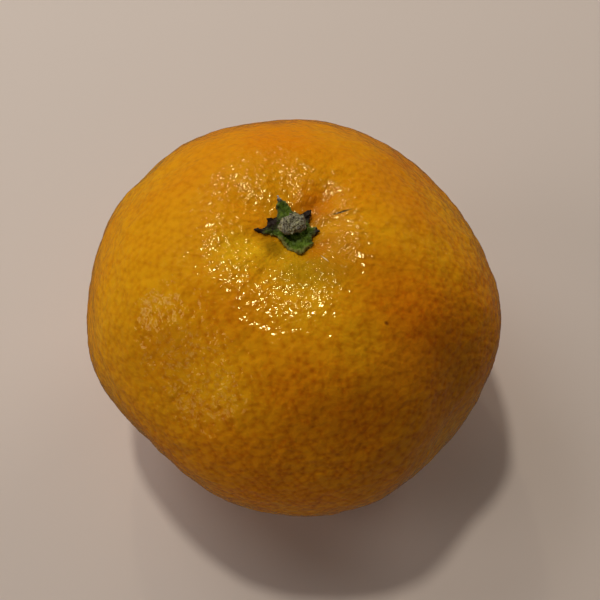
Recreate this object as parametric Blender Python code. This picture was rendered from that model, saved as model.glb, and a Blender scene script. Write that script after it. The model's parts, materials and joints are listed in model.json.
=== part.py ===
"""A mandarin orange as picked: one solid fruit, its star-shaped calyx and the stub of its stalk.

Sizes are in millimetres and the model is in metres, +Z up. The fruit rests on the small flat spot
round its blossom end, at z = 0, with its stem end up and the middle of its width over the origin.
A direction on the fruit is an azimuth, turned from +X towards +Y, and a height angle above its waist.
"""
import math
import random
from collections import namedtuple

import bmesh
import bpy
from mathutils import Vector
from mathutils.bvhtree import BVHTree

MM = 0.001
GAP = 0.35

# Fruit: an oval of revolution, fuller at the shoulders than an ellipse.
WAIST_RADIUS = 33.6
CROWN_RISE = 26.4
BASE_DROP = 27.0
SHOULDER_FULLNESS = 0.92
SIDE_FULLNESS = 0.95
FRUIT_SEGMENTS = 84
FRUIT_RINGS = 50
POLE_CROWDING = 0.5

# Stem cavity, a wide hollow with a deeper pit under the calyx.
CAVITY_DEPTH = 3.0
CAVITY_RADIUS = 10.5
PIT_DEPTH = 1.2
PIT_RADIUS = 5.5

# Blossom end: a basin, the lip and the pinched middle of a small closed navel, and the flat spot.
BASIN_DEPTH = 3.0
BASIN_RADIUS = 7.0
NAVEL_LIP_RISE = 0.7
NAVEL_LIP_RADIUS = 2.4
NAVEL_LIP_WIDTH = 1.1
NAVEL_PINCH_DEPTH = 0.6
NAVEL_PINCH_RADIUS = 1.1
FLAT_SPOT_DEPTH = 0.2

# Where the segments inside swell the rind, or draw it in where rise is below zero.
Swell = namedtuple("Swell", "azimuth height spread rise")
SWELLS = {
    "right_corner": Swell(342, 18, 17, 1.0),
    "back_right_flat": Swell(28, 34, 25, -1.6),
    "back_left_corner": Swell(127, 28, 14, 0.8),
    "left_shoulder": Swell(157, 19, 14, 0.8),
    "left_corner": Swell(198, 1, 12, 0.6),
    "front_left_flat": Swell(227, -9, 19, -1.7),
    "front_corner": Swell(287, -14, 27, 0.8),
    "front_right_flat": Swell(318, 3, 15, -1.6),
    "left_valley": Swell(236, 36, 15, -1.7),
    "left_front_ridge": Swell(248, 36, 8, 0.3),
    "front_dimple": Swell(262, 60, 11, -0.7),
    "front_shoulder": Swell(287, 40, 11, 0.6),
    "front_hollow": Swell(270, 14, 20, -0.9),
    "right_hollow": Swell(323, 21, 13, -1.3),
    "lower_right_bulge": Swell(335, -22, 13, 1.4),
    "right_low_flat": Swell(8, -26, 18, -0.8),
    "back_low_bulge": Swell(72, -20, 22, 0.9),
    "back_low_flat": Swell(128, -22, 19, -1.1),
    "left_low_bulge": Swell(178, -27, 18, 0.7),
}
# Round the foot the rind is even, so that the flat spot is a true ring.
EVEN_FOOT_ANGLE = 28
FOOT_FADE_ANGLE = 12

# Furrows that run out of the stem cavity between the segments.
Furrow = namedtuple("Furrow", "azimuth depth width")
FURROWS = {
    "back_right_furrow": Furrow(52, 0.9, 17),
    "back_left_furrow": Furrow(100, 0.35, 11),
    "left_furrow": Furrow(148, 0.6, 14),
    "left_front_furrow": Furrow(200, 0.4, 12),
    "front_left_furrow": Furrow(243, 0.4, 11),
    "front_furrow": Furrow(284, 0.3, 10),
    "right_front_furrow": Furrow(324, 0.6, 13),
    "right_furrow": Furrow(8, 0.3, 11),
}
FURROW_RADIUS = 7.5
FURROW_REACH = 4.5

# Calyx: a thick disc with teeth of uneven length, each lifted off the rind towards its tip.
Tooth = namedtuple("Tooth", "azimuth length half_width point lift")
TEETH = {
    "top_tooth": Tooth(110, 5.7, 40, 1.0, 0.7),
    "left_tooth": Tooth(185, 5.5, 42, 1.5, 0.3),
    "shrivelled_tooth": Tooth(160, 3.7, 22, 0.8, 0.6),
    "front_tooth": Tooth(285, 4.6, 62, 0.6, 0.1),
    "right_tooth": Tooth(350, 4.1, 28, 0.9, 0.5),
    "curled_tooth": Tooth(40, 3.7, 30, 0.8, 0.9),
}
CALYX_DISC_RADIUS = 2.6
CALYX_DISC_THICKNESS = 1.1
CALYX_TIP_THICKNESS = 0.65
CALYX_SEGMENTS = 72
CALYX_RINGS = 4

# Stem stub: a worn dome, wider across than it is deep, with fibres that stand proud of it.
STUB_HALF_WIDTH = 2.15
STUB_HALF_DEPTH = 1.65
STUB_TURN = 12
STUB_EDGE_HEIGHT = 0.65
STUB_DOME_HEIGHT = 1.6
STUB_ROUGHNESS = 0.14
STUB_SEGMENTS = 24
STUB_RINGS = 4
STUB_SEED = 7


def clear_scene():
    """Remove what the file already holds."""
    for thing in list(bpy.data.objects):
        bpy.data.objects.remove(thing, do_unlink=True)


def linear(channel):
    """Turn one sRGB channel, 0 to 1, into linear light."""
    if channel <= 0.04045:
        return channel / 12.92
    return ((channel + 0.055) / 1.055) ** 2.4


def make_material(name, hex_colour, roughness):
    """A plain Principled material from an sRGB hex colour."""
    channels = [int(hex_colour[i:i + 2], 16) / 255 for i in (0, 2, 4)]
    material = bpy.data.materials.new(name)
    material.use_nodes = True
    shader = material.node_tree.nodes["Principled BSDF"]
    shader.inputs["Base Color"].default_value = (*[linear(c) for c in channels], 1.0)
    shader.inputs["Roughness"].default_value = roughness
    shader.inputs["Metallic"].default_value = 0.0
    return material


def add_object(name, mesh_builder, material):
    """Turn a bmesh in millimetres into a named, smooth-shaded object in metres."""
    bmesh.ops.recalc_face_normals(mesh_builder, faces=mesh_builder.faces)
    bmesh.ops.scale(mesh_builder, vec=(MM, MM, MM), verts=mesh_builder.verts)
    mesh = bpy.data.meshes.new(name)
    mesh_builder.to_mesh(mesh)
    mesh_builder.free()
    mesh.shade_smooth()
    mesh.set_sharp_from_angle(angle=math.radians(50))
    mesh.materials.append(material)
    thing = bpy.data.objects.new(name, mesh)
    bpy.context.scene.collection.objects.link(thing)
    return thing


def bell(distance, reach):
    """One at no distance, falling smoothly to nothing well past the reach."""
    return math.exp(-(distance / reach) ** 2)


def turn_between(azimuth, other):
    """The smaller angle between two azimuths in degrees."""
    return abs((azimuth - other + 180) % 360 - 180)


def direction(azimuth, height):
    """The unit vector for an azimuth and a height angle in degrees."""
    turn = math.radians(azimuth)
    climb = math.radians(height)
    return Vector((math.cos(climb) * math.cos(turn), math.cos(climb) * math.sin(turn), math.sin(climb)))


def oval_height(cos_polar, radius, azimuth):
    """The rind's height above the waist before the swells, at a radius from the stem axis."""
    if cos_polar < 0:
        height = -BASE_DROP * (-cos_polar) ** SIDE_FULLNESS
        height += BASIN_DEPTH * bell(radius, BASIN_RADIUS)
        height -= NAVEL_LIP_RISE * bell(radius - NAVEL_LIP_RADIUS, NAVEL_LIP_WIDTH)
        height += NAVEL_PINCH_DEPTH * bell(radius, NAVEL_PINCH_RADIUS)
        return height
    height = CROWN_RISE * cos_polar ** SIDE_FULLNESS
    height -= CAVITY_DEPTH * bell(radius, CAVITY_RADIUS)
    height -= PIT_DEPTH * bell(radius, PIT_RADIUS)
    for furrow in FURROWS.values():
        across = bell(turn_between(azimuth, furrow.azimuth), furrow.width)
        height -= furrow.depth * across * bell(radius - FURROW_RADIUS, FURROW_REACH)
    return height


def rind_point(azimuth, polar):
    """A point on the rind, for an azimuth in degrees and an angle from the stem axis in radians."""
    cos_polar = math.cos(polar)
    radius = WAIST_RADIUS * math.sin(polar) ** SHOULDER_FULLNESS
    turn = math.radians(azimuth)
    height = oval_height(cos_polar, radius, azimuth)
    point = Vector((radius * math.cos(turn), radius * math.sin(turn), height))
    outward = Vector((point.x / WAIST_RADIUS ** 2, point.y / WAIST_RADIUS ** 2, point.z / CROWN_RISE ** 2))
    outward.normalize()
    rise = 0.0
    for swell in SWELLS.values():
        away = math.degrees(point.angle(direction(swell.azimuth, swell.height)))
        rise += swell.rise * bell(away, swell.spread)
    from_foot = math.degrees(point.angle(Vector((0, 0, -1))))
    rise *= min(1.0, max(0.0, (from_foot - EVEN_FOOT_ANGLE) / FOOT_FADE_ANGLE))
    return point + rise * outward


def ring_polar(ring):
    """A ring's angle from the stem axis; rings stand closer together near both ends."""
    share = ring / FRUIT_RINGS
    return math.pi * (share - POLE_CROWDING * math.sin(4 * math.pi * share) / (4 * math.pi))


def rind_shape():
    """The fruit as a bmesh, centred over the origin and cut flat at z = 0."""
    shape = bmesh.new()
    bmesh.ops.create_uvsphere(shape, u_segments=FRUIT_SEGMENTS, v_segments=FRUIT_RINGS, radius=1.0)
    for vertex in shape.verts:
        ring = round(math.acos(max(-1.0, min(1.0, vertex.co.z))) / math.pi * FRUIT_RINGS)
        azimuth = math.degrees(math.atan2(vertex.co.y, vertex.co.x)) % 360
        vertex.co = rind_point(azimuth, ring_polar(ring))
    bmesh.ops.triangulate(shape, faces=shape.faces)
    xs = [vertex.co.x for vertex in shape.verts]
    ys = [vertex.co.y for vertex in shape.verts]
    floor = min(vertex.co.z for vertex in shape.verts) + FLAT_SPOT_DEPTH
    middle = Vector(((min(xs) + max(xs)) / 2, (min(ys) + max(ys)) / 2, floor))
    for vertex in shape.verts:
        vertex.co -= middle
        vertex.co.z = max(vertex.co.z, 0.0)
    return shape, -middle


def top_height(surface, x, y):
    """The height of a surface's top at a place in plan."""
    return surface.ray_cast(Vector((x, y, 2 * CROWN_RISE + BASE_DROP)), Vector((0, 0, -1)))[0].z


def tooth_share(tooth, azimuth):
    """How far up a tooth an azimuth lies: one at its tip, nothing past its sides."""
    away = turn_between(azimuth, tooth.azimuth) / tooth.half_width
    return max(0.0, 1.0 - away) ** tooth.point


def calyx_radius(azimuth):
    """The calyx's outline in plan."""
    reach = 0.0
    for tooth in TEETH.values():
        reach = max(reach, (tooth.length - CALYX_DISC_RADIUS) * tooth_share(tooth, azimuth))
    return CALYX_DISC_RADIUS + reach


def calyx_lift(azimuth):
    """How far the calyx's edge stands off the rind."""
    return max(tooth.lift * tooth_share(tooth, azimuth) for tooth in TEETH.values())


def stub_radius(azimuth):
    """The stub's outline in plan, an oval turned a little from the X axis."""
    turn = math.radians(azimuth - STUB_TURN)
    return 1.0 / math.hypot(math.cos(turn) / STUB_HALF_WIDTH, math.sin(turn) / STUB_HALF_DEPTH)


def raised_piece(axis, segments, rings, outline, lift, thickness, below):
    """A closed solid on the stem axis whose underside follows the surface below it.

    outline, lift and thickness are functions of the azimuth and of the share of the way out, 0 to 1.
    """
    shape = bmesh.new()

    def underside(azimuth, share):
        turn = math.radians(azimuth)
        x = axis.x + outline(azimuth) * share * math.cos(turn)
        y = axis.y + outline(azimuth) * share * math.sin(turn)
        return shape.verts.new((x, y, top_height(below, x, y) + GAP + lift(azimuth, share)))

    steps = [(360 * step / segments) for step in range(segments)]
    middle = underside(0, 0)
    loops = [[underside(azimuth, ring / rings) for azimuth in steps] for ring in range(1, rings + 1)]
    for step in range(segments):
        after = (step + 1) % segments
        shape.faces.new((middle, loops[0][step], loops[0][after]))
        for inner, outer in zip(loops, loops[1:]):
            shape.faces.new((inner[step], outer[step], outer[after]))
            shape.faces.new((inner[step], outer[after], inner[after]))

    upper = bmesh.ops.extrude_face_region(shape, geom=shape.faces[:])["geom"]
    for vertex in [part for part in upper if isinstance(part, bmesh.types.BMVert)]:
        x = vertex.co.x - axis.x
        y = vertex.co.y - axis.y
        azimuth = math.degrees(math.atan2(y, x)) % 360
        vertex.co.z += thickness(azimuth, math.hypot(x, y) / outline(azimuth))
    bmesh.ops.triangulate(shape, faces=shape.faces)
    return shape


def calyx_shape(axis, rind):
    """The calyx, following the stem cavity."""
    def lift(azimuth, share):
        return calyx_lift(azimuth) * share ** 3

    def thickness(azimuth, share):
        return CALYX_DISC_THICKNESS + (CALYX_TIP_THICKNESS - CALYX_DISC_THICKNESS) * share

    return raised_piece(axis, CALYX_SEGMENTS, CALYX_RINGS, calyx_radius, lift, thickness, rind)


def stub_shape(axis, calyx):
    """The stem stub, standing on the calyx's disc."""
    draw = random.Random(STUB_SEED)

    def lift(azimuth, share):
        return 0.0

    def thickness(azimuth, share):
        dome = STUB_DOME_HEIGHT - (STUB_DOME_HEIGHT - STUB_EDGE_HEIGHT) * share ** 2
        return dome + draw.uniform(-STUB_ROUGHNESS, STUB_ROUGHNESS)

    return raised_piece(axis, STUB_SEGMENTS, STUB_RINGS, stub_radius, lift, thickness, calyx)


def build():
    """Make the fruit, then the calyx on it, then the stub on the calyx."""
    clear_scene()
    rind_material = make_material("waxed rind", "E0860F", 0.38)
    calyx_material = make_material("dried green calyx", "46602A", 0.7)
    stub_material = make_material("weathered stalk wood", "776F5C", 0.9)

    rind, axis = rind_shape()
    rind_tree = BVHTree.FromBMesh(rind)
    calyx = calyx_shape(axis, rind_tree)
    calyx_tree = BVHTree.FromBMesh(calyx)
    stub = stub_shape(axis, calyx_tree)

    add_object("fruit", rind, rind_material)
    add_object("calyx", calyx, calyx_material)
    add_object("stem_stub", stub, stub_material)


build()
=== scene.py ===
"""The looks of a mandarin orange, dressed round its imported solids.

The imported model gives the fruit, its calyx and its stem stub as plain solids. Each operator below makes
the finished piece that stands for one of them, or the floor, the lights and the camera.
Blender's unit here is the metre, and sizes are written in millimetres times MM.
A direction on the fruit is an azimuth, turned from +X towards +Y, and a height angle above its waist.
"""

import json
import math
import random
from collections import namedtuple

import bmesh
import bpy
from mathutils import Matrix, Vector
from mathutils.kdtree import KDTree

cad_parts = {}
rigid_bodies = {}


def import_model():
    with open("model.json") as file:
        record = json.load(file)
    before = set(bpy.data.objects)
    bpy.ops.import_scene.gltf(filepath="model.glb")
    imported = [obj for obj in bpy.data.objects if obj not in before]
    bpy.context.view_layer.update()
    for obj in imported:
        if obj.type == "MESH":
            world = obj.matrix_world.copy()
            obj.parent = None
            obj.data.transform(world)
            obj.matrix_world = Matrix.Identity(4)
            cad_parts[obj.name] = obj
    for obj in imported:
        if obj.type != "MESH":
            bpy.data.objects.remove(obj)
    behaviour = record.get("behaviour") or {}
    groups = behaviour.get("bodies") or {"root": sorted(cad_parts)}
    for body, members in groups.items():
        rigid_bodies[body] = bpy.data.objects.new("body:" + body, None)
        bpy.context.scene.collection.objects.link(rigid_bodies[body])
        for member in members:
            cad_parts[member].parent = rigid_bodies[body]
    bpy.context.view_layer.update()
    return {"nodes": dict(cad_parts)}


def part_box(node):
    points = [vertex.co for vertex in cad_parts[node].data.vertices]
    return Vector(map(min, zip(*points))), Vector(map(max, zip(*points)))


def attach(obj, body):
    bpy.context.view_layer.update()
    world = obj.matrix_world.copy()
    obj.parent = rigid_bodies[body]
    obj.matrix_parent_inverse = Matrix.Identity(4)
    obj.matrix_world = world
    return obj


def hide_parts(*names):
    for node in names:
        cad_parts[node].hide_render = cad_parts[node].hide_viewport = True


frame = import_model()

bl_info = {
    "name": "Mandarin orange",
    "version": (1, 0, 0),
    "blender": (4, 5, 0),
    "location": "View3D > Sidebar > Mandarin",
    "description": "Makes a mandarin orange with its calyx and stem stub, piece by piece",
    "category": "Add Mesh",
}

MM = 0.001

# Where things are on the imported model. The waist is the middle of the fruit's oval.
STUB_LOW, STUB_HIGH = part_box("stem_stub")
STEM_AXIS = (STUB_LOW + STUB_HIGH) / 2
WAIST_HEIGHT = 25.5 * MM
WAIST = Vector((STEM_AXIS.x, STEM_AXIS.y, WAIST_HEIGHT))

# Values that several pieces share. A noise's values mostly lie between its low and its high.
ORGANIC_IOR = 1.45
NOISE_LOW = 0.3
NOISE_HIGH = 0.7
SMOOTH_LEVELS = 2

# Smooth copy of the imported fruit: the gap to merge across, and the angle up to which triangles join.
GUIDE_MERGE = 0.001 * MM
GUIDE_JOIN_ANGLE = 60

# Rind: a ball with its oil glands laid out on it is squashed to the fruit's oval. The glands are bumps
# inside the bump ring round the stem axis and pits farther out, and fade close to the calyx. Their jitter
# and merge are shares of the ball's radius.
GLAND_SUBDIVISIONS = 6
GLAND_JITTER = 0.018
GLAND_SEED = 11
GLAND_CUTS = 2
OVAL_HALF_WIDTH = 33.6 * MM
OVAL_HALF_HEIGHT = 25.2 * MM
GLAND_MERGE = 0.028
GLAND_PIT_RADIUS = 0.36 * MM
GLAND_DEPTH_SHARES = (0.35, 1.0)
GLAND_DOT_RADIUS = 0.48 * MM
GLAND_TONE_SHARES = (0.6, 1.0)
GLAND_CLEAR_SHARE = 0.65
GLAND_CLEAR_REACH = 14 * MM
GLAND_BUMP_RING = 11.0 * MM
GLAND_BUMP_REACH = 5.5 * MM
GLAND_SMOOTH_REACH = 3.1 * MM
LUMP_HEIGHT = 0.44 * MM
LUMP_SIZE = 5.0 * MM
PEBBLE_HEIGHT = 0.19 * MM
PEBBLE_SIZE = 1.6 * MM
RELIEF_MIDDLE = 0.63
RELIEF_START = 1.5 * MM

# Where the rind is yellower, or a deeper orange where amount is below zero. Angles are in degrees.
# The rim patches are painted light: lighter, yellower rims that stand in for light bounced up from the floor.
# The valley, hollow and furrow patches and the one left of the calyx are painted shade, a deeper orange
# there.
# The two front collar patches are partly the rind's own tone and partly painted glint colour.
Patch = namedtuple("Patch", "azimuth height spread amount")
YELLOW_AND_PAINTED_LIGHT_PATCHES = {
    "collar": Patch(0, 90, 26, 0.22),
    "left_cheek": Patch(205, 30, 24, 0.28),
    "front_left_ridge": Patch(247, 37, 13, 0.30),
    "left_valley": Patch(220, 36, 7, -0.14),
    "front_left_collar": Patch(210, 70, 8, 0.42),
    "front_collar": Patch(262, 78, 7, 0.20),
    "front_left_hollow_shade": Patch(236, 56, 7, -0.10),
    "back_collar": Patch(102, 54, 12, -0.18),
    "front_ridge": Patch(280, 61, 13, 0.27),
    "right_collar": Patch(355, 63, 9, 0.18),
    "right_shoulder": Patch(352, 44, 9, 0.18),
    "right_front_ridge": Patch(298, 45, 8, 0.22),
    "right_upper_rim_bounce": Patch(15, 28, 14, 0.25),
    "back_left_cheek": Patch(158, 33, 22, 0.20),
    "low_right_rim_bounce": Patch(312, -8, 22, 0.25),
    "low_front_rim_bounce": Patch(262, -24, 24, 0.35),
    "low_left_rim_bounce": Patch(212, -14, 24, 0.30),
    "right_rim_bounce": Patch(345, -12, 22, 0.25),
    "back_left_rim_bounce": Patch(140, 5, 22, 0.25),
    "right_front_valley_shade": Patch(318, 44, 14, -0.22),
    "front_low": Patch(280, 5, 26, -0.05),
    "furrow_shade": Patch(60, 76, 6, -0.25),
    "front_valley_shade": Patch(266, 38, 15, -0.08),
    "shade_left_of_calyx": Patch(180, 80, 5, -0.25),
}

# Sides where the oil glands show less.
FAINT_GLAND_PATCHES = {
    "back": Patch(92, 33, 38, 0.92),
    "left": Patch(178, 10, 36, 0.50),
}

# Marks on the rind, from broad duller or paler places to a scratch and specks. The broad duller ones are
# painted
# shade: under the calyx, where it also gives an olive tone, at its edges and in its hollow, on the right
# shoulder, on both cheeks and on the front. The broad paler one is painted light on a lit ridge. The scratch,
# the scuff and the specks are the rind's own. Their places are in millimetres from the stem axis and the
# floor.
Mark = namedtuple("Mark", "x y z turn length width tint strength")
MARKS = {
    "shaded_olive_collar": Mark(2.4, -7.6, 47.5, 0, 16.0, 9.0, "9C7808", 0.60),
    "shaded_shoulder": Mark(8.5, -5.5, 47.5, -30, 17.0, 13.0, "A86404", 0.42),
    "shaded_right_cheek": Mark(23.5, -15.2, 40.0, 62, 22.0, 13.0, "9A4E02", 0.32),
    "shaded_left_cheek": Mark(-20.2, -17.2, 42.0, -52, 26.0, 14.0, "A86404", 0.22),
    "shaded_front": Mark(5.6, -26.2, 42.0, 8, 19.0, 9.0, "A05A04", 0.24),
    "lit_ridge": Mark(14.5, -20.2, 43.4, 37, 13.0, 8.0, "F29C14", 0.35),
    "calyx_edge_shade": Mark(3.4, -3.2, 48.0, 50, 6.5, 3.6, "B85A02", 0.45),
    "calyx_left_edge_shade": Mark(-2.9, -3.1, 48.0, -45, 7.0, 4.0, "8A6204", 0.60),
    "calyx_hollow_shade": Mark(1.6, 2.8, 48.0, 20, 12.0, 8.0, "B85A02", 0.50),
    "scratch": Mark(7.0, 2.7, 49.1, 14, 3.7, 0.42, "2E2006", 1.0),
    "scuff": Mark(4.4, -5.35, 49.1, -49, 1.9, 0.22, "F6E6BE", 0.75),
    "speck": Mark(12.8, -14.95, 47.4, 0, 0.85, 0.75, "6B2E0A", 0.8),
    "back_speck": Mark(-2.0, 9.2, 49.9, 0, 0.8, 0.4, "7A4A10", 0.6),
}

# Fine ribs that run out of the stem cavity, and how far their draws may vary.
Rib = namedtuple("Rib", "azimuth start end height")
RIB_COUNT = 46
RIB_HEIGHT = 0.11 * MM
RIB_WIDTH = 0.36 * MM
RIB_START = 3.5 * MM
RIB_END = 13.0 * MM
RIB_SEED = 5
RIB_AZIMUTH_SHARE = 0.4
RIB_START_SPREAD = 3.5 * MM
RIB_LENGTH_SHARES = (0.3, 1.0)
RIB_HEIGHT_SHARES = (0.4, 1.0)

# Creases too fine for the mesh, drawn in the rind's material.
CREASE_COUNT = 90
CREASE_LENGTH = 2.4 * MM
CREASE_HEIGHT = 0.13 * MM
CREASE_FADE_START = 9.0 * MM
CREASE_FADE_END = 17.0 * MM

# Finish of the rind. Its light blurs over so many millimetres of red, green and blue.
RIND_GLOSS = 0.55
RIND_GLOSS_TINT = "FFEFA2"
RIND_BLUR_SHARE = 0.12
RIND_BLUR = (2.0, 0.7, 0.15)
RIND_ROUGHNESS = (0.08, 0.15)
RIND_GRAIN_SIZE = 0.9 * MM
RIND_GRAIN_HEIGHT = 0.28 * MM
RIND_GRAIN_FAR_SHARE = 0.6
RIND_GRAIN_NEAR_SHARE = 0.3
RIND_GRAIN_NEAR_START = 3.5 * MM
RIND_GRAIN_NEAR_END = 5.5 * MM
RIND_DRIFT_SIZE = 12 * MM
RIND_DRIFT_SHARES = (0.20, 0.44)
YELLOW_GAIN = 1.5
MARK_EVEN_SHARE = 0.35

# Calyx: a disc whose rim is drawn out into teeth, each to its own length, and lifted at its tip. It starts
# above the stub, is dropped on the rind, and thins towards the tips of its teeth. A tooth's lengths are in
# millimetres.
CALYX_DISC_RADIUS = 2.6 * MM
CALYX_SEGMENTS = 120
CALYX_RING_SHARES = (0.86, 0.70, 0.52, 0.34, 0.16)
CALYX_DROP = 5 * MM
CALYX_GAP = 0.12 * MM
CALYX_SMOOTH_STEPS = 12
CALYX_THICKNESS = 0.85 * MM
CALYX_TIP_SHARE = 0.30
CALYX_TIP_RADIUS = 5.5 * MM
Tooth = namedtuple("Tooth", "azimuth draw base lift lift_reach dry_reach")
TEETH = {
    "top_tooth": Tooth(113, 3.5, 1.9, 0.9, 2.6, 1.4),
    "left_tooth": Tooth(183, 3.3, 0.9, 0.4, 2.2, 2.0),
    "shrivelled_tooth": Tooth(159, 1.8, 1.6, 0.9, 1.3, 2.2),
    "lower_left_edge": Tooth(232, 0.3, 2.0, 0.6, 1.6, 0.0),
    "front_tooth": Tooth(284, 2.1, 2.4, 0.35, 1.8, 0.0),
    "lower_right_edge": Tooth(322, 1.0, 1.7, 0.2, 1.2, 0.0),
    "right_tooth": Tooth(352, 1.4, 0.8, 0.6, 1.2, 1.0),
    "curled_tooth": Tooth(50, 1.6, 1.2, 0.8, 1.8, 2.4),
}
CALYX_BLEACHED = Vector((-2.1, 5.3, 0)) * MM
CALYX_BLEACHED_REACH = 0.42 * MM
CALYX_FOLD_HEIGHT = 0.9 * MM
CALYX_FOLD_SIZE = 1.4 * MM
CALYX_BUMP_HEIGHT = 0.45 * MM
CALYX_BUMP_SIZE = 0.42 * MM

# Finish of the calyx.
CALYX_GLOSS = 0.25
CALYX_ROUGHNESS = (0.4, 0.65)
CALYX_PATCH_SIZE = 1.1 * MM
CALYX_PATCH_EDGE = (0.38, 0.62)
CALYX_GRAIN_SIZE = 0.35 * MM
CALYX_GRAIN_HEIGHT = 0.1 * MM
CALYX_GRAIN_SHARE = 0.8
CALYX_RIM_SHARE = 0.45
CALYX_RAGGEDNESS = 0.8
CALYX_DRIED_EDGE = (0.65, 1.0)

# Stem stub: a worn oval dome with a pit in it. Each of its steps is a ring's way inwards and upwards in
# millimetres.
STUB_SHIFT = Vector((-0.2, 0.05, 0)) * MM
STUB_HALF_WIDTH = 2.15 * MM
STUB_HALF_DEPTH = 1.55 * MM
STUB_WALL = 0.9 * MM
STUB_WALL_TOLERANCE = 0.01 * MM
STUB_TURN = 12
STUB_SEGMENTS = 28
STUB_SINK = 0.35 * MM
STUB_STEPS = ((0.35, 0.40), (0.40, 0.30), (0.45, 0.15))
STUB_PIT = Vector((0.70, -0.45, 0)) * MM
STUB_PIT_DEPTH = 0.45 * MM
STUB_PIT_REACH = 0.55 * MM
STUB_LUMP_SIZE = 0.9 * MM
STUB_LUMP_HEIGHT = 0.8 * MM
STUB_VOXEL = 0.055 * MM
STUB_SMOOTH_STEPS = 2
STUB_GRIT_SIZE = 0.25 * MM
STUB_GRIT_HEIGHT = 0.12 * MM

# Fibres of the stub: one is copied, and each copy draws its place, its lie and its size. The radii that
# they lie at are in millimetres from the stem axis.
FIBRE_COUNT = 44
FIBRE_RADIUS = 0.11 * MM
FIBRE_LENGTH = 1.5 * MM
FIBRE_SIDES = 6
FIBRE_SEED = 3
FIBRE_AZIMUTH = 60
FIBRE_AZIMUTH_SPREAD = 75
FIBRE_PLACE_RADII = (0.45, 1.5)
FIBRE_SWAY = 0.4
FIBRE_TILT = 0.15
FIBRE_SINK = 0.02 * MM
FIBRE_LENGTH_SHARES = (0.6, 1.1)
FIBRE_WIDTH_SHARES = (0.8, 1.4)
RAY_START_HEIGHT = 1.0

# Finish of the stub. A wave pattern repeats once for each tenth of pi of its scaled place.
STUB_ROUGHNESS = 0.8
STUB_GRAIN = 0.42 * MM
STUB_GRAIN_HEIGHT = 0.07 * MM
STUB_GRAIN_TANGLE = 9.0
STUB_GRAIN_COVER = (0.25, 0.95)
STUB_PATCH_SIZE = 0.9 * MM
STUB_PATCH_EDGE = (0.35, 0.65)
WAVE_REPEAT = math.pi / 10

# Lights, placed by degrees and metres from the waist: two small lamps that throw the shadow and the glints,
# two windows that the rind mirrors at its left, and wide soft ones all round that it doesn't mirror.
Light = namedtuple("Light", "azimuth height distance width tall power tint gloss")
LIGHTS = {
    "ceiling_lamp": Light(125, 72, 1.00, 0.085, 0.085, 2.80, "FFFAF0", True),
    "back_lamp": Light(105, 44, 1.00, 0.035, 0.035, 0.42, "FFF2D8", True),
    "back_softbox": Light(112, 25, 0.70, 0.50, 0.30, 0.72, "FFFFFF", False),
    "back_left_softbox": Light(143, 45, 0.70, 0.45, 0.35, 1.20, "F6FAFF", False),
    "left_softbox": Light(197, 32, 0.70, 0.40, 0.26, 0.49, "FFF8FA", False),
    "left_window": Light(191, 30, 0.70, 0.26, 0.16, 0.26, "FFF4EE", True),
    "low_left_window": Light(222, 18, 0.70, 0.14, 0.20, 0.09, "FFF8EE", True),
    "back_right_softbox": Light(50, 22, 0.70, 0.40, 0.30, 1.22, "FFFAF4", False),
    "front_softbox": Light(300, 5, 0.70, 0.50, 0.25, 0.11, "FFF4E8", False),
    "front_left_softbox": Light(222, 5, 0.70, 0.40, 0.20, 0.08, "FFF4E8", False),
}
WORLD_TINT = "FFF8F2"
WORLD_STRENGTH = 0.05
FLOOR_ROUGHNESS = 0.6

# Shader sockets of a colour Mix node, which Blender names alike for every kind of value.
MIX_FACTOR = 0
MIX_A = 6
MIX_B = 7
MIX_RESULT = 2

# Photograph's view. The sensor is in millimetres, as Blender has it.
IMAGE_WIDTH = 600
FOCAL_PIXELS = 913
SENSOR_WIDTH = 36
CAMERA_AZIMUTH = 270
CAMERA_HEIGHT_ANGLE = 59.6
CAMERA_DISTANCE = 152.3 * MM
CAMERA_NEAR = 10 * MM
WAIST_PIXEL = (293.6, 309.8)


def linear(channel):
    """Turn one sRGB channel, 0 to 1, into linear light."""
    if channel <= 0.04045:
        return channel / 12.92
    return ((channel + 0.055) / 1.055) ** 2.4


def colour(hex_code):
    """Turn an sRGB hex code into linear red, green, blue and alpha."""
    channels = [int(hex_code[i:i + 2], 16) / 255 for i in (0, 2, 4)]
    return (*[linear(channel) for channel in channels], 1.0)


def bell(distance, reach):
    """One at no distance, falling smoothly to nothing well past the reach."""
    return math.exp(-(distance / reach) ** 2)


def turn_between(azimuth, other):
    """The smaller angle between two azimuths in degrees."""
    return abs((azimuth - other + 180) % 360 - 180)


def direction(azimuth, height):
    """The unit vector for an azimuth and a height angle in degrees."""
    turn = math.radians(azimuth)
    climb = math.radians(height)
    return Vector((math.cos(climb) * math.cos(turn), math.cos(climb) * math.sin(turn), math.sin(climb)))


def from_axis(place):
    """A place's azimuth in degrees and its distance from the stem axis."""
    x = place.x - STEM_AXIS.x
    y = place.y - STEM_AXIS.y
    return math.degrees(math.atan2(y, x)) % 360, math.hypot(x, y)


def deselect_all():
    """Leave edit mode and let go of every object."""
    if bpy.context.object and bpy.context.object.mode != "OBJECT":
        bpy.ops.object.mode_set(mode="OBJECT")
    bpy.ops.object.select_all(action="DESELECT")


def take(thing):
    """Make one object the only selected one, and the active one."""
    deselect_all()
    thing.select_set(True)
    bpy.context.view_layer.objects.active = thing


def edit_all():
    """Open the active object in edit mode with all of it selected."""
    bpy.ops.object.mode_set(mode="EDIT")
    bpy.ops.mesh.select_all(action="SELECT")


def select_points(thing, test):
    """In edit mode, select only the vertices whose place passes a test."""
    bpy.ops.mesh.select_all(action="DESELECT")
    shape = bmesh.from_edit_mesh(thing.data)
    for vertex in shape.verts:
        vertex.select_set(test(vertex.co))
    shape.select_flush_mode()
    bmesh.update_edit_mesh(thing.data)


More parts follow.
